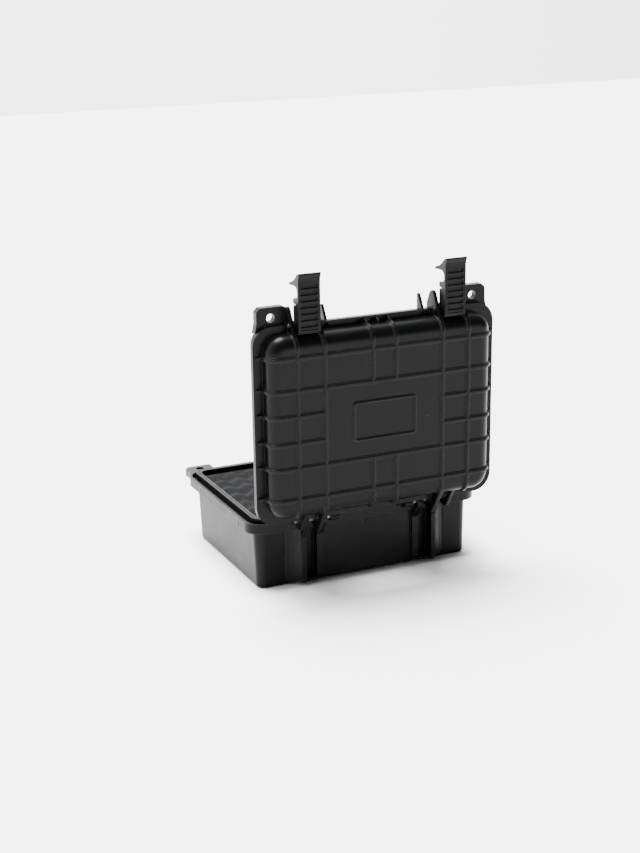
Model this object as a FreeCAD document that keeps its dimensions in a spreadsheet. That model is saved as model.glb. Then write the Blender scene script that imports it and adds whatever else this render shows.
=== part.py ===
import FreeCAD, Part
import math
import os
from types import SimpleNamespace

import Sketcher
from FreeCAD import Placement, Rotation, Vector

# A small moulded equipment case, standing open.  Millimetres.  X is the width, the latches are at -Y,
# the hinges at +Y, and Z is up from the underside.  The lid, the latches and the handle are all drawn
# in the closed case and then turned about their own pins to the open rest position.

doc = FreeCAD.newDocument("equipment_case")
sheet = doc.addObject("Spreadsheet::Sheet", "dims")


class Size:
    """A number together with the spreadsheet formula that gives it."""

    def __init__(self, value, formula):
        self.value = float(value)
        self.formula = formula

    def _join(self, other, sign, result):
        return Size(result, "(%s %s %s)" % (self.formula, sign, as_size(other).formula))

    def __add__(self, other):
        return self._join(other, "+", self.value + as_size(other).value)

    def __sub__(self, other):
        return self._join(other, "-", self.value - as_size(other).value)

    def __mul__(self, other):
        return self._join(other, "*", self.value * as_size(other).value)

    def __truediv__(self, other):
        return self._join(other, "/", self.value / as_size(other).value)

    def __radd__(self, other):
        return as_size(other) + self

    def __rsub__(self, other):
        return as_size(other) - self

    def __rmul__(self, other):
        return as_size(other) * self

    def __neg__(self):
        return Size(-self.value, "(0 - %s)" % self.formula)


def as_size(number):
    return number if isinstance(number, Size) else Size(number, "(%r)" % float(number))


DIMENSIONS = [
    # base tub
    ("base_half_x", 133.0, "rim flange, half width"),
    ("base_half_y", 103.0, "rim flange, half depth"),
    ("base_rim_top", 75.0, "height of the rim flange top"),
    ("rim_band", 10.5, "height of the rim flange"),
    ("rim_corner", 20.0, "plan corner radius of the rim flange"),
    ("foot_half_x", 122.2, "tub wall at the floor, half width"),
    ("foot_half_y", 91.0, "tub wall at the floor, half depth"),
    ("wall_draft", 1.6, "tub wall draft, degrees"),
    ("tub_corner", 8.0, "plan corner radius of the tub"),
    ("floor_round", 3.5, "rounding of the bottom edge"),
    ("cavity_half_x", 118.4, "inside of the tub at the floor, half width"),
    ("cavity_half_y", 86.9, "inside of the tub at the floor, half depth"),
    ("cavity_corner", 7.0, "plan corner radius of the inside"),
    ("floor_thick", 3.6, "thickness of the tub floor"),
    ("seal_inset", 7.6, "rim edge to the seal ridge"),
    ("seal_height", 3.9, "seal ridge above the rim flange"),
    ("ramp_foot_x", 92.6, "where the outer hinge wall has run out into the tub wall"),
    ("rear_panel_y", 97.2, "face of the raised rear panel"),
    ("knuckle_wall_in", 52.6, "inner hinge wall, inside face"),
    ("knuckle_wall_out", 59.2, "inner hinge wall, outside face"),
    ("knuckle_wall_y", 101.0, "inner hinge wall, rear face"),
    ("knuckle_block_in", 73.5, "outer hinge wall, inside face"),
    ("knuckle_block_out", 78.0, "outer hinge wall, outside face"),
    ("knuckle_block_y", 105.0, "outer hinge wall, rear face"),
    # hinge
    ("hinge_y", 109.7, "hinge pin centre"),
    ("hinge_z", 75.2, "hinge pin centre"),
    ("hinge_pin_radius", 1.6, "hinge pin"),
    ("running_gap", 0.06, "radial clearance where a piece turns on a pin"),
    ("knuckle_radius", 5.6, "hinge knuckle"),
    ("lid_angle", 91.4, "how far the lid stands open, degrees"),
    # lid
    ("lid_half_x", 134.2, "lid flange, half width"),
    ("lid_half_y", 103.0, "lid flange, half depth"),
    ("skirt_inset_x", 3.2, "lid skirt below the flange, set in at the sides"),
    ("skirt_inset_y", 2.0, "lid skirt below the flange, set in at front and rear"),
    ("flange_low", 83.4, "underside of the lid flange, above the skirt"),
    ("lid_bottom", 75.6, "parting face of the closed lid"),
    ("lid_flange_top", 89.4, "top of the lid flange"),
    ("lid_top", 108.0, "outside of the lid panel"),
    ("dome_half_x", 124.4, "lid dome at the flange, half width"),
    ("dome_half_y", 95.4, "lid dome at the flange, half depth"),
    ("dome_corner", 19.0, "plan corner radius of the dome"),
    ("dome_round", 13.0, "rounding of the dome's top edge"),
    ("lid_inside_x", 115.4, "inside of the lid, half width"),
    ("lid_inside_y", 85.4, "inside of the lid, half depth"),
    ("lid_roof", 3.4, "thickness of the lid panel"),
    ("rib_outer_x", 95.2, "outer long ribs, also the outer ears"),
    ("rib_inner_x", 65.6, "inner long ribs, also the inner ears"),
    ("rib_centre_x", 12.9, "centre pair of ribs"),
    ("rib_end_y", 73.3, "cross ribs nearest the ends"),
    ("rib_mid_y", 40.1, "cross ribs beside the label field"),
    ("rib_short_y", 14.0, "short cross ribs"),
    ("rib_wide", 5.2, "rib foot width"),
    ("rib_narrow", 2.4, "rib crest width"),
    ("rib_low", 0.9, "rib foot height"),
    ("rib_high", 2.1, "rib crest height"),
    ("ear_thick", 3.4, "latch and hinge ear thickness"),
    ("outer_ear_x", 84.0, "outer hinge ear, centre"),
    # padlock tabs
    ("eye_x", 112.2, "padlock eye"),
    ("eye_y", 110.6, "padlock eye, ahead of centre"),
    ("eye_radius", 4.5, "padlock eye"),
    ("tab_reach", 121.4, "front edge of the padlock tabs"),
    ("tab_out_x", 127.2, "outer edge of the padlock tabs"),
    ("tab_thick", 8.5, "padlock tab thickness"),
    # latch
    ("latch_pin_y", 103.2, "latch pin, ahead of centre"),
    ("latch_pin_z", 92.7, "latch pin height, lid closed"),
    ("latch_pin_radius", 1.6, "latch pin"),
    ("latch_half", 11.7, "half width of a latch"),
    ("latch_centre_x", 80.4, "latch centre"),
    ("catch_y", 108.4, "catch bar, ahead of centre"),
    ("catch_z", 58.7, "catch bar height"),
    ("catch_radius", 4.7, "catch bar"),
    # handle
    ("handle_pin_y", 99.6, "handle pin, ahead of centre"),
    ("handle_pin_z", 57.5, "handle pin height"),
    ("handle_pin_radius", 2.0, "handle pin"),
    ("handle_arm_in", 41.0, "handle arm, inside face"),
    ("handle_arm_out", 49.0, "handle arm, outside face"),
    # pressure valve
    ("valve_z", 44.0, "valve height"),
    ("valve_neck", 5.0, "valve neck radius"),
]
for row, (name, value, note) in enumerate(DIMENSIONS, start=1):
    sheet.set("A%d" % row, name)
    sheet.set("B%d" % row, "%r" % value)
    sheet.set("C%d" % row, note)
    sheet.setAlias("B%d" % row, name)
doc.recompute()
s = SimpleNamespace(**{name: Size(value, "dims." + name) for name, value, note in DIMENSIONS})


# ---------------------------------------------------------------- drawing helpers

def new_body(name):
    body = doc.addObject("PartDesign::Body", name)
    body.Label = name
    return body


def plane_of(body, role):
    return next(item for item in body.Origin.OriginFeatures if item.Role == role)


def new_sketch(body, role, offset):
    """A sketch on one of the body's own origin planes, moved along the plane's normal."""
    sketch = body.newObject("Sketcher::SketchObject", body.Name + "_sketch")
    sketch.AttachmentSupport = [(plane_of(body, role), "")]
    sketch.MapMode = "FlatFace"
    sketch.AttachmentOffset = Placement(Vector(0, 0, as_size(offset).value), Rotation())
    sketch.setExpression("AttachmentOffset.Base.z", as_size(offset).formula)
    return sketch


def pin_point(sketch, geometry, vertex, point):
    """Fix one vertex by its two distances from the sketch origin, each a formula."""
    for kind, distance in zip(("DistanceX", "DistanceY"), point):
        distance = as_size(distance)
        number = sketch.addConstraint(
            Sketcher.Constraint(kind, -1, 1, geometry, vertex, distance.value))
        sketch.setExpression("Constraints[%d]" % number, distance.formula)


def draw_polygon(sketch, points):
    first = sketch.GeometryCount
    values = [Vector(as_size(a).value, as_size(b).value, 0) for a, b in points]
    count = len(points)
    for i in range(count):
        sketch.addGeometry(Part.LineSegment(values[i], values[(i + 1) % count]), False)
    for i in range(count):
        sketch.addConstraint(
            Sketcher.Constraint("Coincident", first + i, 2, first + (i + 1) % count, 1))
    for i in range(count):
        pin_point(sketch, first + i, 1, points[i])


def draw_box(sketch, x0, x1, y0, y1):
    draw_polygon(sketch, [(x0, y0), (x1, y0), (x1, y1), (x0, y1)])


def draw_rounded_box(sketch, half_x, half_y, corner):
    """A rectangle centred on the sketch origin with tangent corner arcs."""
    a, b, r = (as_size(v).value for v in (half_x, half_y, corner))
    first = sketch.GeometryCount
    ends = [((-a + r, -b), (a - r, -b)), ((a, -b + r), (a, b - r)),
            ((a - r, b), (-a + r, b)), ((-a, b - r), (-a, -b + r))]
    for start, end in ends:
        sketch.addGeometry(Part.LineSegment(Vector(*start, 0), Vector(*end, 0)), False)
    centres = [(a - r, -b + r, -90), (a - r, b - r, 0), (-a + r, b - r, 90), (-a + r, -b + r, 180)]
    for x, y, angle in centres:
        circle = Part.Circle(Vector(x, y, 0), Vector(0, 0, 1), r)
        sketch.addGeometry(Part.ArcOfCircle(circle, math.radians(angle), math.radians(angle + 90)),
                           False)
    for i in range(4):
        arc = first + 4 + i
        sketch.addConstraint(Sketcher.Constraint("Tangent", first + i, 2, arc, 1))
        sketch.addConstraint(Sketcher.Constraint("Tangent", arc, 2, first + (i + 1) % 4, 1))
        sketch.addConstraint(
            Sketcher.Constraint("Vertical" if i % 2 else "Horizontal", first + i))
        if i:
            sketch.addConstraint(Sketcher.Constraint("Equal", first + 4, arc))
    number = sketch.addConstraint(Sketcher.Constraint("Radius", first + 4, r))
    sketch.setExpression("Constraints[%d]" % number, as_size(corner).formula)
    for i, (kind, distance) in enumerate([("DistanceY", -as_size(half_y)),
                                          ("DistanceX", as_size(half_x)),
                                          ("DistanceY", as_size(half_y)),
                                          ("DistanceX", -as_size(half_x))]):
        number = sketch.addConstraint(
            Sketcher.Constraint(kind, -1, 1, first + i, 1, distance.value))
        sketch.setExpression("Constraints[%d]" % number, distance.formula)


def draw_circle(sketch, x, y, radius):
    index = sketch.addGeometry(
        Part.Circle(Vector(as_size(x).value, as_size(y).value, 0), Vector(0, 0, 1),
                    as_size(radius).value), False)
    pin_point(sketch, index, 3, (x, y))
    number = sketch.addConstraint(Sketcher.Constraint("Radius", index, as_size(radius).value))
    sketch.setExpression("Constraints[%d]" % number, as_size(radius).formula)


def sweep(body, sketch, length, cut=False, taper=None):
    """Pad along the sketch normal, or pocket along it when cut is set."""
    feature = body.newObject("PartDesign::Pocket" if cut else "PartDesign::Pad",
                             body.Name + ("_pocket" if cut else "_pad"))
    feature.Profile = sketch
    feature.Length = as_size(length).value
    feature.setExpression("Length", as_size(length).formula)
    feature.Reversed = cut
    if taper is not None:
        feature.TaperAngle = as_size(taper).value
        feature.setExpression("TaperAngle", as_size(taper).formula)
    body.Tip = feature
    sketch.Visibility = False
    doc.recompute()
    return feature


def boxes(body, rectangles, z0, z1, cut=False, taper=None):
    """Upright blocks that share a bottom and a top height; each rectangle is x0, x1, y0, y1."""
    sketch = new_sketch(body, "XY_Plane", z0)
    for rectangle in rectangles:
        draw_box(sketch, *rectangle)
    return sweep(body, sketch, as_size(z1) - z0, cut, taper)


def plate(body, x0, x1, profile, cut=False):
    """A flat plate across X with a (y, z) outline."""
    sketch = new_sketch(body, "YZ_Plane", x0)
    draw_polygon(sketch, profile)
    return sweep(body, sketch, as_size(x1) - x0, cut)


def cross_rod(body, x0, x1, y, z, radius, cut=False):
    """A round bar or hole along X."""
    sketch = new_sketch(body, "YZ_Plane", x0)
    draw_circle(sketch, y, z, radius)
    return sweep(body, sketch, as_size(x1) - x0, cut)


def posts(body, circles, z0, z1, cut=False):
    """Round bars or holes along Z; each circle is x, y, radius."""
    sketch = new_sketch(body, "XY_Plane", z0)
    for circle in circles:
        draw_circle(sketch, *circle)
    return sweep(body, sketch, as_size(z1) - z0, cut)


def disc(body, y0, y1, x, z, radius, hole=None, cut=False):
    """A disc or ring along Y, from y0 forward to y1 (y1 is the more negative)."""
    sketch = new_sketch(body, "XZ_Plane", -as_size(y0))
    draw_circle(sketch, x, z, radius)
    if hole is not None:
        draw_circle(sketch, x, z, hole)
    return sweep(body, sketch, as_size(y0) - y1, cut)


def round_edges(body, feature, radius, wanted):
    """Fillet every edge of the feature whose two ends pass the test."""
    names = []
    for index, edge in enumerate(feature.Shape.Edges, start=1):
        if len(edge.Vertexes) == 2 and wanted(edge.Vertexes[0].Point, edge.Vertexes[1].Point):
            names.append("Edge%d" % index)
    if not names:
        raise RuntimeError("no edge to round on " + body.Name)
    fillet = body.newObject("PartDesign::Fillet", body.Name + "_fillet")
    fillet.Base = (feature, names)
    fillet.Radius = as_size(radius).value
    fillet.setExpression("Radius", as_size(radius).formula)
    body.Tip = fillet
    doc.recompute()
    return fillet


def at_height(level):
    def wanted(a, b):
        return abs(a.z - level) < 0.01 and abs(b.z - level) < 0.01
    return wanted


def rounded_block(body, half_x, half_y, z0, z1, corner, cut=False, taper=None):
    """A block with rounded upright corners, centred on the origin."""
    sketch = new_sketch(body, "XY_Plane", z0)
    draw_rounded_box(sketch, half_x, half_y, corner)
    return sweep(body, sketch, as_size(z1) - z0, cut, taper)


def both_sides(x0, x1):
    """The same x interval on the right and mirrored to the left."""
    x0, x1 = as_size(x0), as_size(x1)
    return [(x0, x1), (-x1, -x0)]


# ---------------------------------------------------------------- base tub

def make_base():
    body = new_body("base_shell")
    tub = rounded_block(body, s.foot_half_x, s.foot_half_y, 0, s.base_rim_top, s.tub_corner,
                        taper=s.wall_draft)
    round_edges(body, tub, s.floor_round, at_height(0.0))
    rim_low = s.base_rim_top - s.rim_band
    rounded_block(body, s.base_half_x, s.base_half_y, rim_low, s.base_rim_top, s.rim_corner)
    ridge_x, ridge_y = s.base_half_x - s.seal_inset, s.base_half_y - s.seal_inset
    rounded_block(body, ridge_x, ridge_y, rim_low, s.base_rim_top + s.seal_height,
                  s.rim_corner - s.seal_inset)

    # raised rear panel; the outer hinge walls run out into the tub wall in a hollow curve
    panel_x = s.knuckle_wall_out
    panel = boxes(body, [(-panel_x, panel_x, 60, s.rear_panel_y)], 3.0, rim_low + 1)
    round_edges(body, panel, 3.0, lambda a, b: abs(a.z - 3) < 0.01 and abs(b.z - 3) < 0.01
                and a.y > s.rear_panel_y.value - 0.01 and b.y > s.rear_panel_y.value - 0.01)
    for side in (1, -1):
        sketch = new_sketch(body, "XY_Plane", 4.5)
        draw_polygon(sketch, [(side * x, y) for x, y in [
            (s.knuckle_block_in, as_size(86)), (s.knuckle_block_in, s.knuckle_block_y),
            (s.knuckle_block_in + 2.6, s.knuckle_block_y), (as_size(77.6), as_size(103.3)),
            (as_size(80.6), as_size(99.6)), (as_size(84.0), as_size(96.6)),
            (as_size(88.0), as_size(94.3)), (s.ramp_foot_x, as_size(92.8)),
            (s.ramp_foot_x, as_size(86))]])
        sweep(body, sketch, rim_low - 3.5)
        # the lip that closes the bottom of each hinge well
        sketch = new_sketch(body, "XY_Plane", 4.5)
        draw_polygon(sketch, [(side * s.knuckle_wall_out, 86), (side * s.knuckle_wall_out, 99.5),
                              (side * s.knuckle_block_in, 102.5), (side * s.knuckle_block_in, 86)])
        sweep(body, sketch, 2.6)
        boxes(body, [(min(side * 92.7, side * 93.9), max(side * 92.7, side * 93.9), 91.1, 99)],
              7.0, rim_low - 1, cut=True)
    knuckle_top = s.hinge_z + s.knuckle_radius
    for x0, x1, face in ([(a, b, s.knuckle_wall_y) for a, b in
                          both_sides(s.knuckle_wall_in, s.knuckle_wall_out)]
                         + [(a, b, s.knuckle_block_y) for a, b in
                            both_sides(s.knuckle_block_in, s.knuckle_block_out)]):
        plate(body, x0, x1, [(92, 9), (face - 3, 5.5), (face, 10), (face, 55),
                             (s.hinge_y + s.knuckle_radius, s.hinge_z - 4),
                             (s.hinge_y + s.knuckle_radius, s.hinge_z), (92, s.hinge_z - 2)])
        cross_rod(body, x0, x1, s.hinge_y, s.hinge_z, s.knuckle_radius)
    # end bosses of the hinge pins, in a notch of the rear rim
    for x0, x1 in both_sides(33.0, s.knuckle_wall_in):
        boxes(body, [(x0, x1, 97.4, 110)], 71.0, s.base_rim_top + 1, cut=True)
    for x0, x1 in both_sides(38.5, 48.0):
        plate(body, x0, x1, [(96, 66), (s.hinge_y, s.hinge_z - 4.4), (s.hinge_y + 4, s.hinge_z - 2),
                             (s.hinge_y + 2, s.hinge_z + 2), (96, 73)])
        cross_rod(body, x0, x1, s.hinge_y, s.hinge_z, 4.4)
    for x0, x1 in both_sides(43.0, s.knuckle_block_out + 1):
        cross_rod(body, x0, x1, s.hinge_y, s.hinge_z, s.hinge_pin_radius + 0.02, cut=True)

    padlock_tabs(body, s.base_rim_top - s.tab_thick)
    # catch brackets and bar for each latch
    reach = s.catch_y + s.catch_radius
    for centre in (s.rib_inner_x, s.rib_outer_x):
        for x0, x1 in both_sides(centre - s.ear_thick / 2, centre + s.ear_thick / 2):
            plate(body, x0, x1, [(-90, 42), (-s.catch_y, s.catch_z - s.catch_radius),
                                 (-reach, s.catch_z - 3), (-reach, s.catch_z + 2.5),
                                 (-s.catch_y + 1, rim_low + 0.5), (-90, rim_low + 0.5)])
    for x0, x1 in both_sides(s.rib_inner_x, s.rib_outer_x):
        cross_rod(body, x0, x1, -s.catch_y, s.catch_z, s.catch_radius)

    # handle brackets
    for x0, x1 in both_sides(37.4, 40.6) + both_sides(49.4, 52.6):
        plate(body, x0, x1, [(-90, 46), (-s.handle_pin_y - 2, 52.5), (-s.handle_pin_y - 5, 56),
                             (-s.handle_pin_y - 5, 60), (-s.handle_pin_y - 2, rim_low + 0.5),
                             (-90, rim_low + 0.5)])
    for x0, x1 in both_sides(36.6, 53.4):
        cross_rod(body, x0, x1, -s.handle_pin_y, s.handle_pin_z, s.handle_pin_radius + 0.02, cut=True)

    # the inside, the channel outside the seal ridge and the fine groove along its crest
    rounded_block(body, s.cavity_half_x, s.cavity_half_y, s.floor_thick,
                  s.base_rim_top + s.seal_height + 1, s.cavity_corner, cut=True,
                  taper=s.wall_draft)
    sketch = new_sketch(body, "XY_Plane", s.base_rim_top - 4.5)
    draw_rounded_box(sketch, s.base_half_x - 2.6, s.base_half_y - 2.6, s.rim_corner - 2.6)
    draw_rounded_box(sketch, ridge_x, ridge_y, s.rim_corner - s.seal_inset)
    sweep(body, sketch, 4.5, cut=True)
    sketch = new_sketch(body, "XY_Plane", s.base_rim_top + s.seal_height - 1.0)
    draw_rounded_box(sketch, ridge_x - 2.0, ridge_y - 2.0, s.rim_corner - s.seal_inset - 2)
    draw_rounded_box(sketch, ridge_x - 2.9, ridge_y - 2.9, s.rim_corner - s.seal_inset - 2.9)
    sweep(body, sketch, 1.0, cut=True)
    # drain slits in the side, a sunk centre mark at the rear, valve hole at the front
    sketch = new_sketch(body, "XZ_Plane", -s.rear_panel_y)
    draw_polygon(sketch, [(-0.7, 61.6), (6.3, 61.6), (2.8, 55.4)])
    sweep(body, sketch, 0.5, cut=True)
    boxes(body, [(s.base_half_x - 1.6, s.base_half_x + 1, y - 0.9, y + 0.9) for y in (-18, 66)],
          rim_low - 0.5, rim_low + 3.2, cut=True)
    disc(body, -80, -100, 0, s.valve_z, s.valve_neck + 0.05, cut=True)
    return body


# ---------------------------------------------------------------- lid, drawn closed

def rib_layout(width):
    """Plan rectangles of the raised ribs on the lid."""
    half = width / 2
    far_x, far_y = s.dome_half_x + 3, s.dome_half_y + 3
    layout = []
    for x in (s.rib_outer_x, s.rib_inner_x):
        layout += [(x0, x1, -far_y, far_y) for x0, x1 in both_sides(x - half, x + half)]
    for x0, x1 in both_sides(s.rib_centre_x - half, s.rib_centre_x + half):
        layout += [(x0, x1, -far_y, -s.rib_mid_y), (x0, x1, s.rib_mid_y, far_y)]
    cross = []
    for y in (s.rib_end_y, s.rib_mid_y):
        cross += [(-far_x, far_x, y0, y1) for y0, y1 in both_sides(y - half, y + half)]
    for y0, y1 in both_sides(s.rib_short_y - half, s.rib_short_y + half):
        cross += [(x0, x1, y0, y1) for x0, x1 in both_sides(s.rib_inner_x, far_x)]
    return layout, cross


def dome(body, grow):
    """The lid's rounded box, thickened outwards by grow."""
    block = rounded_block(body, s.dome_half_x + grow, s.dome_half_y + grow,
                          s.lid_flange_top - 1.5, s.lid_top + grow, s.dome_corner + grow,
                          taper=-2.0)
    return round_edges(body, block, s.dome_round + grow, at_height((s.lid_top + grow).value))


def make_ribs(name, width, height, frame_inset, frame_width):
    """Ribs and label frame of one width, cut to follow the dome; two of them make the stepped section."""
    grid = new_body(name + "_grid")
    low, high = s.lid_flange_top - 0.5, s.lid_top + height + 3
    for rectangles in rib_layout(width):
        boxes(grid, rectangles, low, high)
    sketch = new_sketch(grid, "XY_Plane", s.lid_top - 2)
    for inset in (frame_inset, frame_inset + frame_width):
        draw_rounded_box(sketch, 35.6 - inset, 21.0 - inset, 4.4 - inset)
    sweep(grid, sketch, height + 5)
    envelope = new_body(name + "_envelope")
    dome(envelope, height)
    common = grid.newObject("PartDesign::Boolean", name + "_common")
    common.setObjects([envelope])
    common.Type = 2
    grid.Tip = common
    doc.recompute()
    return grid


def padlock_tabs(body, z0):
    for side in (1, -1):
        sketch = new_sketch(body, "XY_Plane", z0)
        draw_polygon(sketch, [(side * 97.0, -96), (side * 97.0, -s.tab_reach + 1),
                              (side * 99.0, -s.tab_reach), (side * (s.tab_out_x - 4), -s.tab_reach),
                              (side * s.tab_out_x, -s.tab_reach + 4), (side * s.tab_out_x, -106),
                              (side * (s.tab_out_x + 2), -96), (side * 110, -90)])
        sweep(body, sketch, s.tab_thick)
    posts(body, [(s.eye_x, -s.eye_y, s.eye_radius), (-s.eye_x, -s.eye_y, s.eye_radius)],
          as_size(z0) - 1, as_size(z0) + s.tab_thick + 1, cut=True)


def make_lid():
    body = new_body("lid_shell")
    rounded_block(body, s.lid_half_x, s.lid_half_y, s.flange_low, s.lid_flange_top, s.rim_corner)
    rounded_block(body, s.lid_half_x - s.skirt_inset_x, s.lid_half_y - s.skirt_inset_y, s.lid_bottom,
                  s.flange_low + 0.5, s.rim_corner - s.skirt_inset_x)
    dome(body, as_size(0))
    # the cross ribs end in low webs on the flange
    half = s.rib_narrow / 2
    for y in (s.rib_end_y, s.rib_mid_y, s.rib_short_y):
        for y0, y1 in both_sides(y - half, y + half):
            boxes(body, [(x0, x1, y0, y1) for x0, x1 in both_sides(118.0, s.lid_half_x - 2.6)],
                  s.lid_flange_top - 1, s.lid_flange_top + 3.0)
    # recess behind the front lip, bridged by three short webs
    boxes(body, [(x0, x1, -101.2, -96.2) for pair in
                 (both_sides(1.2, 11.6), both_sides(14.2, 60)) for x0, x1 in pair],
          s.lid_flange_top - 3.2, s.lid_flange_top + 1, cut=True)
    # room for the round end of each latch
    boxes(body, [(x0, x1, -106, -100) for x0, x1 in both_sides(s.rib_inner_x, s.rib_outer_x)],
          s.lid_flange_top - 1.6, s.lid_flange_top + 1, cut=True)
    for x0, x1 in both_sides(11.6, 14.2) + [(as_size(-1.2), as_size(1.2))]:
        top = s.lid_flange_top
        plate(body, x0, x1, [(-95, top - 2), (-95, top + 5.8), (-98, top + 5), (-101.5, top + 0.5),
                             (-101.5, top - 2)])
    boxes(body, [(-9.3, 9.3, 46.5, 62.5)], s.lid_top - 1, s.lid_top + 0.15)
    boxes(body, [(x0, x1, -104.4, -102.6) for x0, x1 in both_sides(s.eye_x - 6.5, s.eye_x + 6.5)],
          s.flange_low - 1, s.lid_flange_top - 3.6)
    posts(body, [(-48.5, 2.8, 1.7)], s.lid_top - 1, s.lid_top + 0.35)
    crest = s.lid_top + s.rib_high
    # latch ears, then the triangular webs beside them
    for centre in (s.rib_inner_x, s.rib_outer_x):
        for x0, x1 in both_sides(centre - s.ear_thick / 2, centre + s.ear_thick / 2):
            plate(body, x0, x1, [(-76, 100), (-76, s.lid_top - 2), (-82, crest), (-85, crest - 0.4),
                                 (-118.6, 90.2), (-120.8, 87.6), (-120.6, 84.6), (-117.5, 81.5),
                                 (-106, s.lid_bottom), (-96, s.lid_bottom)])
    for x0, x1 in both_sides(52.6, 55.4):
        plate(body, x0, x1, [(-88, 86), (-88, 91), (-92, 92.4), (-115.8, 78.4), (-117.2, 76.4),
                             (-116, s.lid_bottom), (-96, s.lid_bottom)])
    padlock_tabs(body, s.lid_bottom)
    # hinge ears
    tall = [(78, 100), (78, s.lid_top - 2), (84, crest), (88, crest - 0.4), (119.0, 88.6),
            (120.6, 85.6)]
    short = [(84, 92), (84, 101.5), (90, 102.6), (92.5, 101.6), (114.6, 87.0), (116.4, 84.0)]
    knuckle = [(s.hinge_y + s.knuckle_radius, s.hinge_z), (s.hinge_y - s.knuckle_radius, s.hinge_z),
               (103.0, 77.6), (90, 77.6)]
    for centre, thick, outline in ((s.rib_inner_x, 4.0, tall), (s.outer_ear_x, 3.4, short)):
        for x0, x1 in both_sides(centre - thick / 2, centre + thick / 2):
            plate(body, x0, x1, outline + knuckle)
            cross_rod(body, x0, x1, s.hinge_y, s.hinge_z, s.knuckle_radius)
    for name, width, height, inset, frame in (("foot", s.rib_wide, s.rib_low, 0.0, 3.0),
                                              ("crest", s.rib_narrow, s.rib_high, 0.8, 1.4)):
        ribs = make_ribs("rib_" + name, width, height, inset, frame)
        fuse = body.newObject("PartDesign::Boolean", "lid_" + name)
        fuse.setObjects([ribs])
        fuse.Type = 0
        body.Tip = fuse
        doc.recompute()
    # the inside, the seal groove and the pin holes
    rounded_block(body, s.lid_inside_x, s.lid_inside_y, s.lid_bottom, s.lid_top - s.lid_roof, 8.0,
                  cut=True)
    rounded_block(body, 119.6, 90.6, 86.4, 97.5, 14.0, cut=True)
    groove_x = s.base_half_x - s.seal_inset + 0.9
    groove_y = s.base_half_y - s.seal_inset + 0.9
    sketch = new_sketch(body, "XY_Plane", s.lid_bottom)
    draw_rounded_box(sketch, groove_x, groove_y, 13.3)
    draw_rounded_box(sketch, groove_x - 7.6, groove_y - 7.6, 9.6)
    sweep(body, sketch, 7.2, cut=True)
    for x0, x1 in both_sides(61, 99):
        cross_rod(body, x0, x1, -s.latch_pin_y, s.latch_pin_z, s.latch_pin_radius + 0.02, cut=True)
    for x0, x1 in both_sides(63, 89):
        cross_rod(body, x0, x1, s.hinge_y, s.hinge_z, s.hinge_pin_radius + s.running_gap, cut=True)
    return body


def make_gasket():
    body = new_body("lid_gasket")
    sketch = new_sketch(body, "XY_Plane", 79.4)
    draw_rounded_box(sketch, 125.2, 95.2, 12.4)
    draw_rounded_box(sketch, 120.6, 90.6, 8.6)
    sweep(body, sketch, 3.1)
    return body


# ---------------------------------------------------------------- latch, drawn closed

# Side outline of a latch: distance along it from the pin, and depth measured towards its face.
LATCH_OUTLINE = [
    (-8.2, 9.4), (-6.9, 12.4), (-4.0, 14.0), (45.0, 14.0), (48.6, 14.6), (52.4, 16.4), (53.8, 15.4),
    (52.6, 11.6), (48.0, 6.4), (44.4, 1.2), (41.8, -7.4), (40.6, -8.5), (39.2, -7.7), (40.2, 3.0),
    (39.7, 7.2), (38.0, 9.8), (35.4, 11.0), (31.2, 11.0), (29.0, 9.8), (28.0, 7.6), (27.6, 1.6),
    (26.6, 0.7), (23.2, 0.7), (22.4, 1.6), (22.4, 6.0), (20.8, 6.0), (20.6, 1.4), (6.3, 1.3),
    (4.2, 0.0), (3.6, -2.2), (2.2, -3.6), (0.0, -4.2), (-2.2, -3.6), (-3.7, -2.1), (-4.2, 0.0),
    (-4.6, 3.0), (-6.8, 6.5)]


def make_latch(name, centre):
    body = new_body(name)
    x0, x1 = centre - s.latch_half, centre + s.latch_half
    plate(body, x0, x1, [(-s.latch_pin_y - depth, s.latch_pin_z - along)
                         for along, depth in LATCH_OUTLINE])
    # a sunk field with grip ridges across the face, and hollows down the underside
    boxes(body, [(centre - 8.9, centre + 8.9, -s.latch_pin_y - 20, -s.latch_pin_y - 12.4)],
          s.latch_pin_z - 42.5, s.latch_pin_z + 3.4, cut=True)
    sketch = new_sketch(body, "XZ_Plane", s.latch_pin_y + 12.0)
    for i in range(7):
        middle = s.latch_pin_z - 37.0 + i * 6.37
        draw_box(sketch, centre - 9.2, centre + 9.2, middle - 1.1, middle + 1.1)
    sweep(body, sketch, 2.5)
    boxes(body, [(centre + a, centre + b, -s.latch_pin_y - 9.2, -s.latch_pin_y + 2)
                 for a, b in ((-9.3, -1.0), (1.0, 9.3))], 71.8, 86.0, cut=True)
    cross_rod(body, x0 - 1, x1 + 1, -s.latch_pin_y, s.latch_pin_z,
              s.latch_pin_radius + s.running_gap, cut=True)
    return body


# ---------------------------------------------------------------- handle and small parts

def make_handle():
    body = new_body("handle")
    front, back = s.handle_pin_y + 4, s.handle_pin_y - 4
    sketch = new_sketch(body, "XZ_Plane", back)
    out_x, in_x, pin_z = s.handle_arm_out, s.handle_arm_in, s.handle_pin_z
    draw_polygon(sketch, [(-out_x, pin_z + 3.6), (-out_x, 32), (-out_x + 6, 24), (out_x - 6, 24),
                          (out_x, 32), (out_x, pin_z + 3.6), (in_x, pin_z + 3.6), (in_x, 40),
                          (in_x - 4, 35.6), (-in_x + 4, 35.6), (-in_x, 40), (-in_x, pin_z + 3.6)])
    pad = sweep(body, sketch, front - back)
    round_edges(body, pad, 2.2, lambda a, b: abs(a.z - b.z) < 0.01 and abs(a.y - b.y) < 0.01
                and (abs(a.z - 24) < 0.01 or abs(a.z - 35.6) < 0.01))
    for x0, x1 in both_sides(in_x - 1, out_x + 1):
        cross_rod(body, x0, x1, -s.handle_pin_y, pin_z, s.handle_pin_radius + s.running_gap,
                  cut=True)
    return body


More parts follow.
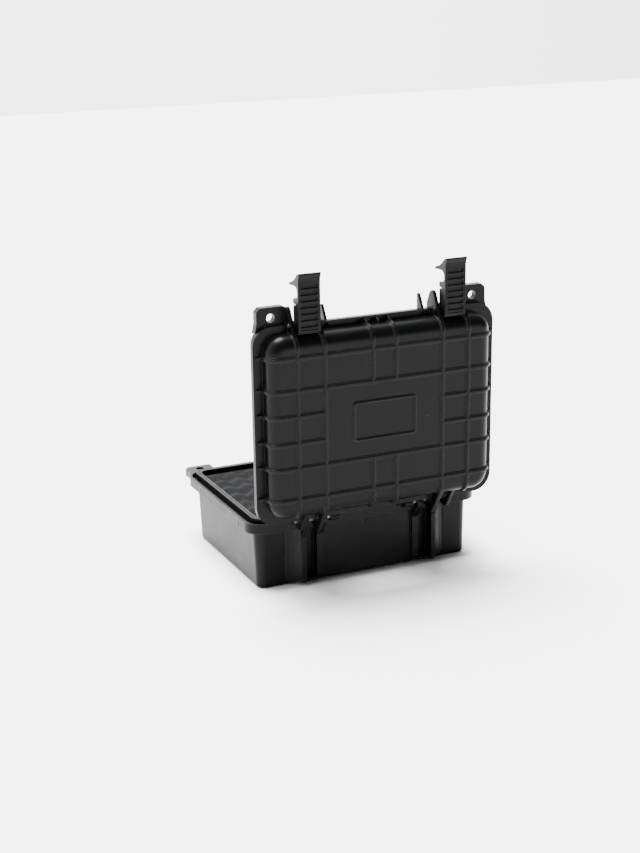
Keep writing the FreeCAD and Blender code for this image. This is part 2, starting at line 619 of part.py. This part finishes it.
def make_rods(name, spans, y, z, radius):
    """Identical pins as one piece list: each span is a left and a right end."""
    rods = []
    for i, (x0, x1) in enumerate(spans):
        rod = doc.addObject("Part::Cylinder", "%s_%d" % (name, i))
        rod.setExpression("Radius", as_size(radius).formula)
        rod.setExpression("Height", (x1 - x0).formula)
        rod.Placement = Placement(Vector(x0.value, as_size(y).value, as_size(z).value),
                                  Rotation(Vector(0, 1, 0), 90))
        rods.append(rod)
    group = doc.addObject("Part::Compound", name)
    group.Label = name
    group.Links = rods
    doc.recompute()
    return group


def make_valve():
    z = s.valve_z
    housing = new_body("valve_housing")
    disc(housing, -92.9, -95.6, 0, z, 8.0)
    disc(housing, -83.8, -93.5, 0, z, s.valve_neck)
    disc(housing, -80.0, -90.5, 0, z, 3.3, cut=True)
    disc(housing, -90.0, -96.5, 0, z, 2.0, cut=True)
    disc(housing, -92.5, -94.2, 0, z, 7.2, hole=5.7, cut=True)
    seal = new_body("valve_seal")
    disc(seal, -92.75, -94.1, 0, z, 7.1, hole=5.8)
    nut = new_body("valve_nut")
    sketch = new_sketch(nut, "XZ_Plane", 84.2)
    draw_polygon(sketch, [(8.4 * math.cos(math.radians(60 * i)),
                           z + 8.4 * math.sin(math.radians(60 * i))) for i in range(6)])
    draw_circle(sketch, 0, z, s.valve_neck + 0.05)
    sweep(nut, sketch, 3.2)
    membrane = new_body("valve_membrane")
    disc(membrane, -89.8, -90.3, 0, z, 3.2)
    cap = new_body("valve_cap")
    disc(cap, -95.7, -97.2, 0, z, 5.6)
    disc(cap, -94.9, -96.0, 0, z, 1.9)
    return [housing, seal, nut, membrane, cap]


def make_foam():
    floor = s.floor_thick + 0.3
    bottom = new_body("base_floor_foam")
    rounded_block(bottom, s.cavity_half_x - 0.6, s.cavity_half_y - 0.6, floor, floor + 9.8, 6.4)
    block = new_body("base_block_foam")
    rounded_block(block, s.cavity_half_x - 0.3, s.cavity_half_y - 0.3, floor + 10.1, 52.0, 6.7)
    boxes(block, [(-9.6, 9.6, -90, -82.9)], 34.4, 53.0, cut=True)
    sheet_foam = new_body("base_wave_foam")
    rounded_block(sheet_foam, s.cavity_half_x + 0.3, s.cavity_half_y + 0.3, 52.3,
                  s.base_rim_top, 7.3)
    # its middle stands up into the mouth of the closed lid
    rounded_block(sheet_foam, s.lid_inside_x - 0.4, s.lid_inside_y - 0.4, 60.0,
                  s.base_rim_top + 1.8, 7.6)
    boxes(sheet_foam, [(-9.6, 9.6, -90, -82.9)], 52.0, 53.6, cut=True)
    lid_foam = new_body("lid_wave_foam")
    rounded_block(lid_foam, s.lid_inside_x - 0.5, s.lid_inside_y - 0.5, 77.2,
                  s.lid_top - s.lid_roof - 0.3, 7.5)
    return [bottom, block, sheet_foam], lid_foam


# ---------------------------------------------------------------- assembly

def turned(angle, y, z):
    """A turn about a pin along X through (y, z)."""
    return Placement(Vector(), Rotation(Vector(1, 0, 0), angle), Vector(0, y.value, z.value))


lid_open = turned(-s.lid_angle.value, s.hinge_y, s.hinge_z)
latch_out = lid_open * turned(-90.0, -s.latch_pin_y, s.latch_pin_z)

base_parts = [make_base()] + make_valve()
base_foam, lid_foam = make_foam()
base_parts += base_foam
base_parts.append(make_rods("hinge_pins", both_sides(43.2, s.outer_ear_x + 3.6), s.hinge_y, s.hinge_z,
                            s.hinge_pin_radius))
base_parts.append(make_rods("handle_pins", both_sides(36.8, 53.2), -s.handle_pin_y, s.handle_pin_z,
                            s.handle_pin_radius))
handle = make_handle()
lid_parts = [make_lid(), make_gasket(), lid_foam,
             make_rods("latch_pins", both_sides(s.rib_inner_x - 2.3, s.rib_outer_x + 2.3),
                       -s.latch_pin_y, s.latch_pin_z, s.latch_pin_radius)]
latches = [make_latch("latch_right", s.latch_centre_x), make_latch("latch_left", -s.latch_centre_x)]

for part in lid_parts:
    part.Placement = lid_open
for part in latches:
    part.Placement = latch_out
doc.recompute()

for item in doc.Objects:
    if "Invalid" in item.State or "Error" in item.State:
        raise RuntimeError("failed feature: %s %s" % (item.Name, item.State))

os.makedirs("parts", exist_ok=True)
for part in base_parts + [handle] + lid_parts + latches:
    shape = part.Shape
    if shape.isNull() or not shape.isValid() or not shape.Solids:
        raise RuntimeError("bad shape: " + part.Label)
    shape.exportStep("parts/%s.step" % part.Label)
    box = shape.BoundBox
    print("%-18s solids %d  volume %9.0f  x %7.1f %7.1f  y %7.1f %7.1f  z %7.1f %7.1f" % (
        part.Label, len(shape.Solids), shape.Volume, box.XMin, box.XMax, box.YMin, box.YMax,
        box.ZMin, box.ZMax))
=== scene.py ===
import math

import bpy
from mathutils import Matrix, Vector


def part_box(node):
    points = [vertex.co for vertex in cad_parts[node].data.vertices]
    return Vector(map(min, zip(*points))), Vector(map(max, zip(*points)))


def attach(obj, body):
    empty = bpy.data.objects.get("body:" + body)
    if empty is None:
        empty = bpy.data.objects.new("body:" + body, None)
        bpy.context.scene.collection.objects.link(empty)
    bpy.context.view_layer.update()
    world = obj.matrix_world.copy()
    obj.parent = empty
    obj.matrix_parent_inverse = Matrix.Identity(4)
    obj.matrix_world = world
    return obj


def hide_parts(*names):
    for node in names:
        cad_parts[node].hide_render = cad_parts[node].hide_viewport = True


# A small moulded equipment case, standing open and seen from behind.  Metres, in the row frame.

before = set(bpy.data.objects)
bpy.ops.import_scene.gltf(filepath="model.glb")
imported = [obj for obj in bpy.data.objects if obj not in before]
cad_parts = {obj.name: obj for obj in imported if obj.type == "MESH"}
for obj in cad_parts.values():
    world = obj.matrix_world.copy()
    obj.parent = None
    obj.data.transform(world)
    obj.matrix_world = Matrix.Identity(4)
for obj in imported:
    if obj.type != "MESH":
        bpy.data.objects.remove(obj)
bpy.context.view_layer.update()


# ---------------------------------------------------------------- materials

def new_material(name):
    material = bpy.data.materials.new(name)
    material.use_nodes = True
    tree = material.node_tree
    return material, tree, tree.nodes["Principled BSDF"]


def add(tree, kind, **values):
    """A node with its settings; a value goes to the property of that name or to the input socket."""
    node = tree.nodes.new(kind)
    for key, value in values.items():
        if hasattr(node, key):
            setattr(node, key, value)
        else:
            node.inputs[key.replace("_", " ")].default_value = value
    return node


def noise(tree, scale, detail=3.0, roughness=0.5):
    """Noise in metres of object space."""
    where = add(tree, "ShaderNodeTexCoord")
    texture = add(tree, "ShaderNodeTexNoise", Scale=scale, Detail=detail, Roughness=roughness)
    tree.links.new(where.outputs["Object"], texture.inputs["Vector"])
    return texture.outputs["Fac"]


def remap(tree, value, low_in, high_in, low_out, high_out):
    node = add(tree, "ShaderNodeMapRange")
    for socket, number in zip(("From Min", "From Max", "To Min", "To Max"),
                              (low_in, high_in, low_out, high_out)):
        node.inputs[socket].default_value = number
    tree.links.new(value, node.inputs["Value"])
    return node.outputs["Result"]


def blend_colours(tree, factor, first, second):
    node = add(tree, "ShaderNodeMix", data_type="RGBA")
    node.inputs["A"].default_value = (*first, 1.0)
    node.inputs["B"].default_value = (*second, 1.0)
    tree.links.new(factor, node.inputs["Factor"])
    return node.outputs["Result"]


def edge_mask(tree, radius):
    """1 on sharp edges and 0 on open faces, from how far a rounded normal leans away."""
    rounded = add(tree, "ShaderNodeBevel", samples=6, Radius=radius)
    plain = add(tree, "ShaderNodeNewGeometry")
    dot = add(tree, "ShaderNodeVectorMath", operation="DOT_PRODUCT")
    tree.links.new(rounded.outputs["Normal"], dot.inputs[0])
    tree.links.new(plain.outputs["Normal"], dot.inputs[1])
    return remap(tree, dot.outputs["Value"], 0.995, 0.86, 0.0, 1.0), rounded.outputs["Normal"]


def moulded_plastic(name, colour, edge_highlight, rough, grain_depth, edge_radius):
    """Satin plastic: moulded grain, slow changes of gloss, and soft edges painted paler as a
    highlight where they would catch light.
    """
    material, tree, shader = new_material(name)
    shader.inputs["Specular IOR Level"].default_value = 0.08
    edges, rounded = edge_mask(tree, edge_radius)
    patches = noise(tree, 35.0, 4.0, 0.6)
    # painted highlight: sharp edges are blended towards a paler colour, more strongly in some
    # patches than in others
    highlight_strength = add(tree, "ShaderNodeMath", operation="MULTIPLY")
    tree.links.new(edges, highlight_strength.inputs[0])
    tree.links.new(remap(tree, patches, 0.35, 0.65, 0.6, 0.9), highlight_strength.inputs[1])
    tree.links.new(blend_colours(tree, highlight_strength.outputs[0], colour, edge_highlight), shader.inputs["Base Color"])
    tree.links.new(remap(tree, patches, 0.3, 0.7, rough - 0.04, rough + 0.05),
                   shader.inputs["Roughness"])
    bump = add(tree, "ShaderNodeBump", Strength=0.35, Distance=grain_depth)
    tree.links.new(noise(tree, 2600.0, 2.0, 0.55), bump.inputs["Height"])
    tree.links.new(rounded, bump.inputs["Normal"])
    tree.links.new(bump.outputs["Normal"], shader.inputs["Normal"])
    return material


def foam_material(name, low, high):
    """Open-cell foam: matt, mottled, with fine pores."""
    material, tree, shader = new_material(name)
    shader.inputs["Roughness"].default_value = 0.95
    shader.inputs["Specular IOR Level"].default_value = 0.15
    mottle = noise(tree, 420.0, 5.0, 0.65)
    tree.links.new(blend_colours(tree, remap(tree, mottle, 0.35, 0.65, 0.0, 1.0), low, high),
                   shader.inputs["Base Color"])
    where = add(tree, "ShaderNodeTexCoord")
    pores = add(tree, "ShaderNodeTexVoronoi", Scale=900.0)
    tree.links.new(where.outputs["Object"], pores.inputs["Vector"])
    bump = add(tree, "ShaderNodeBump", Strength=0.9, Distance=0.0006)
    tree.links.new(pores.outputs["Distance"], bump.inputs["Height"])
    tree.links.new(bump.outputs["Normal"], shader.inputs["Normal"])
    return material


def simple_material(name, colour, rough, metallic=0.0, grain=0.0002, scale=1500.0):
    material, tree, shader = new_material(name)
    shader.inputs["Metallic"].default_value = metallic
    spots = noise(tree, 180.0, 4.0, 0.6)
    darker = tuple(0.8 * c for c in colour)
    tree.links.new(blend_colours(tree, spots, darker, colour), shader.inputs["Base Color"])
    tree.links.new(remap(tree, spots, 0.3, 0.7, rough - 0.05, rough + 0.06),
                   shader.inputs["Roughness"])
    bump = add(tree, "ShaderNodeBump", Strength=0.3, Distance=grain)
    tree.links.new(noise(tree, scale, 2.0), bump.inputs["Height"])
    tree.links.new(bump.outputs["Normal"], shader.inputs["Normal"])
    return material


# the second colour of each plastic is a painted highlight for its edges, where they would catch
# light
SHELL = moulded_plastic("shell_plastic", (0.0016, 0.0017, 0.0019), (0.0240, 0.0245, 0.0255), 0.31,
                        0.00004, 0.0008)
LATCH = moulded_plastic("latch_plastic", (0.0014, 0.0015, 0.0017), (0.0200, 0.0205, 0.0215), 0.33,
                        0.00004, 0.0006)
VALVE = moulded_plastic("valve_plastic", (0.0014, 0.0014, 0.0016), (0.0220, 0.0220, 0.0230), 0.33,
                        0.00003, 0.0003)
FOAM = foam_material("foam", (0.0042, 0.0044, 0.0048), (0.0096, 0.0099, 0.0108))
RUBBER = simple_material("seal_rubber", (0.012, 0.012, 0.013), 0.62)
STEEL = simple_material("pin_steel", (0.30, 0.30, 0.31), 0.42, 1.0, 0.00005, 2500.0)
MEMBRANE = simple_material("membrane", (0.75, 0.75, 0.73), 0.85)

FINISH = {
    "base_shell": SHELL, "lid_shell": SHELL, "latch_right": LATCH, "latch_left": LATCH,
    "handle": LATCH, "valve_housing": VALVE, "valve_cap": VALVE, "valve_nut": VALVE,
    "valve_seal": RUBBER, "lid_gasket": RUBBER, "valve_membrane": MEMBRANE,
    "hinge_pins": STEEL, "handle_pins": STEEL, "latch_pins": STEEL,
}
for node, material in FINISH.items():
    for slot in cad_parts[node].material_slots:
        slot.material = material


# ---------------------------------------------------------------- foam

FLAT_STEP, WAVE_STEP = 0.004, 0.0016        # grid spacing of plain and of waved pieces
FLAT_EDGE = 0.0015                          # rounding along the rim of a plain piece
WAVE_DEPTH = 0.0070
WAVE_PITCH_X, WAVE_PITCH_Y = 0.0215, 0.0250
RISE_WIDTH = 0.012                          # the waves run out into a raised border this wide
BRIM_WIDTH, BRIM_DROP = 0.004, 0.0018       # and the outermost part of it is drawn down


def spread(low, high, count):
    return [low + (high - low) * i / (count - 1) for i in range(count)]


def foam_piece(name, half_x, half_y, corner, step, surface):
    """A closed foam piece with round upright corners.  It is made flat, its underside at z 0.

    surface(x, y) is the height of its top; the outline's rows are drawn in at the corners.
    """
    columns = spread(-1.0, 1.0, int(2 * half_x / step))
    rows = spread(-half_y, half_y, int(2 * half_y / step))
    vertices, faces = [], []
    for top in (False, True):
        for y in rows:
            over = max(0.0, abs(y) - (half_y - corner))
            width = half_x - corner + math.sqrt(max(0.0, corner ** 2 - over ** 2))
            for u in columns:
                x = u * width
                vertices.append((x, y, surface(x, y) if top else 0.0))
    across, along = len(columns), len(rows)
    layer = across * along
    for j in range(along - 1):
        for i in range(across - 1):
            a = j * across + i
            faces.append((a, a + across, a + across + 1, a + 1))
            faces.append((a + layer, a + layer + 1, a + layer + across + 1, a + layer + across))
    rim = ([i for i in range(across)]
           + [j * across + across - 1 for j in range(1, along)]
           + [(along - 1) * across + i for i in range(across - 2, -1, -1)]
           + [j * across for j in range(along - 2, 0, -1)])
    for k, a in enumerate(rim):
        b = rim[(k + 1) % len(rim)]
        faces.append((a, b, b + layer, a + layer))
    mesh = bpy.data.meshes.new(name)
    mesh.from_pydata(vertices, [], faces)
    mesh.polygons.foreach_set("use_smooth", [True] * len(mesh.polygons))
    mesh.materials.append(FOAM)
    mesh.update()
    piece = bpy.data.objects.new(name, mesh)
    bpy.context.scene.collection.objects.link(piece)
    return piece


def flat_top(half_x, half_y, height):
    """Flat top whose rim is rounded off."""
    def surface(x, y):
        inward = min(half_x - abs(x), half_y - abs(y))
        sink = 1.0 - min(1.0, max(0.0, inward) / FLAT_EDGE)
        return height - FLAT_EDGE * 0.5 * sink ** 2
    return surface


def wave_top(half_x, half_y, height):
    """Egg-crate waves: rounded peaks on a grid with saddles between them, and a lower brim."""
    def surface(x, y):
        inward = min(half_x - abs(x), half_y - abs(y))
        drop = BRIM_DROP * max(0.0, 1.0 - inward / BRIM_WIDTH)
        wave = 0.5 * (math.cos(2 * math.pi * x / WAVE_PITCH_X)
                      + math.cos(2 * math.pi * y / WAVE_PITCH_Y))
        wobble = 0.06 * math.sin(37 * x + 61 * y) + 0.05 * math.sin(83 * y - 29 * x)
        level = min(1.0, max(0.0, 0.5 + 0.5 * wave + wobble, 0.75 - inward / RISE_WIDTH))
        return height - drop - WAVE_DEPTH * (1.0 - level)
    return surface


def foam_node(node, corner, step, surface, flip=None):
    """Foam in the place of a CAD node.

    flip is given for the lid's piece only: its half sizes, its thickness and the turn that takes
    a piece drawn face up into the open lid.
    """
    if flip is None:
        low, high = (Vector(v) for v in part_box(node))
        half_x, half_y, thick = (high.x - low.x) / 2, (high.y - low.y) / 2, high.z - low.z
        place = Matrix.Translation((0.0, (low.y + high.y) / 2, low.z))
    else:
        half_x, half_y, thick, place = flip
    piece = foam_piece(node + "_soft", half_x, half_y, corner, step,
                       surface(half_x, half_y, thick))
    piece.data.transform(place)
    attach(piece, "lid" if node.startswith("lid") else "base")
    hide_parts(node)


foam_node("base_floor_foam", 0.0064, FLAT_STEP, flat_top)
foam_node("base_block_foam", 0.0067, FLAT_STEP, flat_top)
foam_node("base_wave_foam", 0.0073, WAVE_STEP, wave_top)

# the lid's foam faces the base when the lid is shut, so it is turned over and then opened out
HINGE = Vector((0.0, 0.1097, 0.0752))
OPEN = math.radians(-91.4)
SHUT_ROOF = 0.1043                          # back of the lid's foam when the lid is shut
LID_FOAM_HALF_X, LID_FOAM_HALF_Y, LID_FOAM_THICK = 0.1149, 0.0849, 0.0271
opened = (Matrix.Translation(HINGE) @ Matrix.Rotation(OPEN, 4, "X") @ Matrix.Translation(-HINGE)
          @ Matrix.Translation((0.0, 0.0, SHUT_ROOF)) @ Matrix.Rotation(math.pi, 4, "Y"))
foam_node("lid_wave_foam", 0.0075, WAVE_STEP, wave_top,
          (LID_FOAM_HALF_X, LID_FOAM_HALF_Y, LID_FOAM_THICK, opened))


# ---------------------------------------------------------------- floor, light and camera

FLOOR_HALF = 6.0
BRIGHT_SIDE = (0.45, -0.89, 0.0)            # the backdrop behind the case and to its side
DIM, BRIGHT = 0.15, 4.5                     # strength of the surroundings away from it and on it
CAMERA_PLACE = (0.6659, 1.5123, 0.6182)
CAMERA_TURN = (23.49, 16.21, -1.47)         # yaw, pitch down and roll, degrees


def floor_sheet():
    mesh = bpy.data.meshes.new("floor")
    half = FLOOR_HALF
    mesh.from_pydata([(-half, -half, 0), (half, -half, 0), (half, half, 0), (-half, half, 0)], [],
                     [(0, 1, 2, 3)])
    floor = bpy.data.objects.new("floor", mesh)
    bpy.context.scene.collection.objects.link(floor)
    material, tree, shader = new_material("floor")
    shader.inputs["Roughness"].default_value = 0.75
    shader.inputs["Specular IOR Level"].default_value = 0.2
    tree.links.new(blend_colours(tree, noise(tree, 1.5), (0.93, 0.93, 0.94), (0.96, 0.96, 0.97)),
                   shader.inputs["Base Color"])
    mesh.materials.append(material)


def wide_sun(name, towards, spread_angle, strength):
    """Soft light of one strength over the whole floor."""
    data = bpy.data.lights.new(name, "SUN")
    data.angle = math.radians(spread_angle)
    data.energy = strength
    light = bpy.data.objects.new(name, data)
    bpy.context.scene.collection.objects.link(light)
    light.rotation_euler = Vector(towards).to_track_quat("-Z", "Y").to_euler()


def studio_world():
    """White all round, brighter behind the case and to its side than behind the camera."""
    world = bpy.data.worlds.new("studio")
    bpy.context.scene.world = world
    world.use_nodes = True
    tree = world.node_tree
    background = tree.nodes["Background"]
    where = add(tree, "ShaderNodeTexCoord")
    towards = add(tree, "ShaderNodeVectorMath", operation="DOT_PRODUCT")
    tree.links.new(where.outputs["Generated"], towards.inputs[0])
    towards.inputs[1].default_value = BRIGHT_SIDE
    strength = remap(tree, towards.outputs["Value"], -0.30, 0.60, DIM, BRIGHT)
    tree.links.new(strength, background.inputs["Strength"])
    background.inputs["Color"].default_value = (1.0, 1.0, 1.0, 1.0)


def photo_camera():
    data = bpy.data.cameras.new("camera")
    data.sensor_fit = "HORIZONTAL"
    data.sensor_width = 36.0
    data.lens = 87.8
    data.clip_end = 50.0
    camera = bpy.data.objects.new("camera", data)
    bpy.context.scene.collection.objects.link(camera)
    yaw, pitch, roll = (math.radians(angle) for angle in CAMERA_TURN)
    ahead = Vector((-math.sin(yaw) * math.cos(pitch), -math.cos(yaw) * math.cos(pitch),
                    -math.sin(pitch)))
    level = Vector((-math.cos(yaw), math.sin(yaw), 0.0))
    upward = level.cross(ahead)
    right = math.cos(roll) * level + math.sin(roll) * upward
    up = math.cos(roll) * upward - math.sin(roll) * level
    camera.matrix_world = Matrix.Translation(CAMERA_PLACE) @ Matrix(
        (right, up, -ahead)).transposed().to_4x4()
    bpy.context.scene.camera = camera


floor_sheet()
studio_world()
wide_sun("top", (-0.08, 0.24, -1.0), 36.0, 15.0)
photo_camera()
